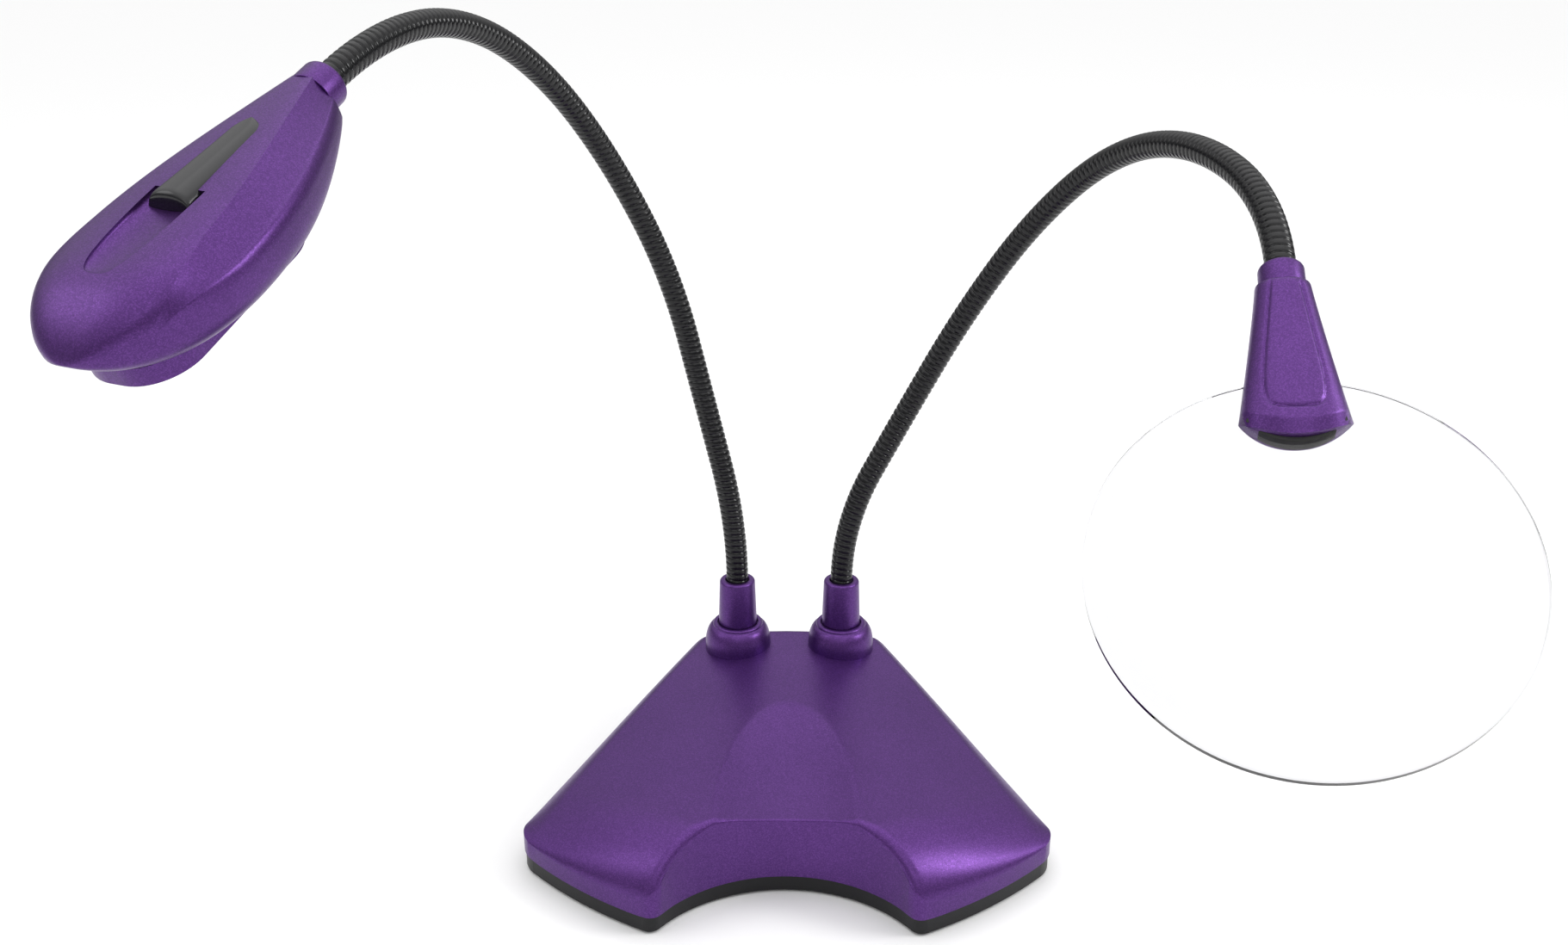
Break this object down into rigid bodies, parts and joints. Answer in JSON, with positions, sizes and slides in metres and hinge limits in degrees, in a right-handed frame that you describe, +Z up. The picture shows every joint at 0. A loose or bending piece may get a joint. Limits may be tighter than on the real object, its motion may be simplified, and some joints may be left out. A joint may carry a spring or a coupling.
{
  "type": "magnifying desk lamp",
  "caption": "Desk lamp with a weighted purple base carrying two black goosenecks, one holding a teardrop LED lamp head and the other a round rimless magnifying lens.",
  "frame": {"origin": "on the surface the lamp stands on, under the middle of the base", "axes": "+Z up, -Y towards the user, +X towards the lens arm"},
  "size_m": [0.3352, 0.2536, 0.271],
  "materials": {
    "conduit_black": "gloss",
    "purple_paint": "metallic satin",
    "black_plastic": "fine texture",
    "black_gloss": "gloss",
    "rubber": "matte",
    "clear_acrylic": "clear",
    "frosted_window": "frosted",
    "plated_steel": "nickel plated",
    "brass": "machined",
    "cast_weight": "as cast",
    "cell_wrap": "shrink wrap",
    "circuit_board": "solder mask",
    "component_black": "moulded",
    "led_dome": "clear",
    "reflector": "bright"
  },
  "bodies": {
    "base": {"ballast_weights": "cast_weight", "base_bottom_plate": "black_plastic", "base_screws": "plated_steel", "base_top_cover": "purple_paint", "battery_cells": "cell_wrap", "battery_contacts": "plated_steel", "battery_springs": "plated_steel", "battery_tray": "black_plastic", "driver_board": "circuit_board", "driver_parts": "component_black", "lens_arm_boss": "purple_paint", "lens_arm_nut": "brass", "lens_arm_section_1": "conduit_black", "lens_arm_sleeve": "purple_paint", "light_arm_boss": "purple_paint", "light_arm_nut": "brass", "light_arm_section_1": "conduit_black", "light_arm_sleeve": "purple_paint", "power_jack": "black_plastic", "rubber_feet": "rubber"},
    "light_link_2": {"light_arm_section_2": "conduit_black"},
    "light_link_3": {"light_arm_section_3": "conduit_black"},
    "light_link_4": {"light_arm_section_4": "conduit_black"},
    "light_link_5": {"light_arm_section_5": "conduit_black"},
    "light_link_6": {"light_arm_section_6": "conduit_black"},
    "lens_link_2": {"lens_arm_section_2": "conduit_black"},
    "lens_link_3": {"lens_arm_section_3": "conduit_black"},
    "lens_link_4": {"lens_arm_section_4": "conduit_black"},
    "lens_link_5": {"lens_arm_section_5": "conduit_black"},
    "lens_link_6": {"lens_arm_section_6": "conduit_black"},
    "light_head": {"light_arm_section_7": "conduit_black", "head_top_cover": "purple_paint", "head_bottom_cover": "purple_paint", "head_collar": "purple_paint", "head_clamp": "black_plastic", "window_bezel": "purple_paint", "light_window": "frosted_window", "switch_body": "black_plastic", "led_board": "circuit_board", "leds": "led_dome", "led_reflector": "reflector"},
    "lens_frame": {"lens_arm_section_7": "conduit_black", "lens_holder_front": "purple_paint", "lens_holder_back": "purple_paint", "lens_holder_collar": "purple_paint", "holder_screw": "plated_steel", "lens_pads": "rubber", "magnifying_lens": "clear_acrylic"},
    "switch": {"switch_slider": "black_gloss"},
    "door": {"battery_door": "black_plastic"}
  },
  "joints": [
    {"name": "light_bend_1", "type": "hinge", "parent": "base", "child": "light_link_2", "pos_m": [-0.02468, 0.05875, 0.10618], "axis": [0.7581, -0.565, 0.3255], "range_deg": [-25, 10]},
    {"name": "light_bend_2", "type": "hinge", "parent": "light_link_2", "child": "light_link_3", "pos_m": [-0.03574, 0.06654, 0.14908], "axis": [0.5893, 0.8072, 0.0328], "range_deg": [-20, 20]},
    {"name": "light_bend_3", "type": "hinge", "parent": "light_link_3", "child": "light_link_4", "pos_m": [-0.05006, 0.06564, 0.19149], "axis": [0.7877, -0.573, 0.2263], "range_deg": [-25, 10]},
    {"name": "light_bend_4", "type": "hinge", "parent": "light_link_4", "child": "light_link_5", "pos_m": [-0.06775, 0.04946, 0.22923], "axis": [0.341, 0.6748, 0.6545], "range_deg": [-20, 20]},
    {"name": "light_bend_5", "type": "hinge", "parent": "light_link_5", "child": "light_link_6", "pos_m": [-0.08473, 0.01843, 0.25649], "axis": [0.9155, -0.402, -0.0152], "range_deg": [-25, 10]},
    {"name": "light_bend_6", "type": "hinge", "parent": "light_link_6", "child": "light_head", "pos_m": [-0.09987, -0.02222, 0.26695], "axis": [0.0428, 0.0037, 0.9991], "range_deg": [-20, 20]},
    {"name": "lens_bend_1", "type": "hinge", "parent": "base", "child": "lens_link_2", "pos_m": [0.02942, 0.05723, 0.1031], "axis": [0.6816, 0.5633, -0.467], "range_deg": [-25, 10]},
    {"name": "lens_bend_2", "type": "hinge", "parent": "lens_link_2", "child": "lens_link_3", "pos_m": [0.04989, 0.0622, 0.14057], "axis": [-0.5328, 0.8192, 0.2124], "range_deg": [-20, 20]},
    {"name": "lens_bend_3", "type": "hinge", "parent": "lens_link_3", "child": "lens_link_4", "pos_m": [0.07105, 0.0595, 0.17773], "axis": [0.7669, 0.5586, -0.316], "range_deg": [-25, 10]},
    {"name": "lens_bend_4", "type": "hinge", "parent": "lens_link_4", "child": "lens_link_5", "pos_m": [0.0919, 0.04128, 0.21011], "axis": [-0.2009, 0.6253, 0.7541], "range_deg": [-20, 20]},
    {"name": "lens_bend_5", "type": "hinge", "parent": "lens_link_5", "child": "lens_link_6", "pos_m": [0.1094, 0.00753, 0.22914], "axis": [0.9395, 0.3328, -0.081], "range_deg": [-25, 10]},
    {"name": "lens_bend_6", "type": "hinge", "parent": "lens_link_6", "child": "lens_frame", "pos_m": [0.12232, -0.03314, 0.23015], "axis": [0.1239, -0.1545, 0.9802], "range_deg": [-20, 20]},
    {"name": "switch_slide", "type": "slide", "parent": "light_head", "child": "switch", "axis": [-0.3598, -0.841, -0.4041], "range_m": [0, 0.005]},
    {"name": "door_hinge", "type": "hinge", "parent": "base", "child": "door", "pos_m": [0, 0.017, 0.0016], "axis": [1, 0, 0], "range_deg": [0, 95]}
  ]
}
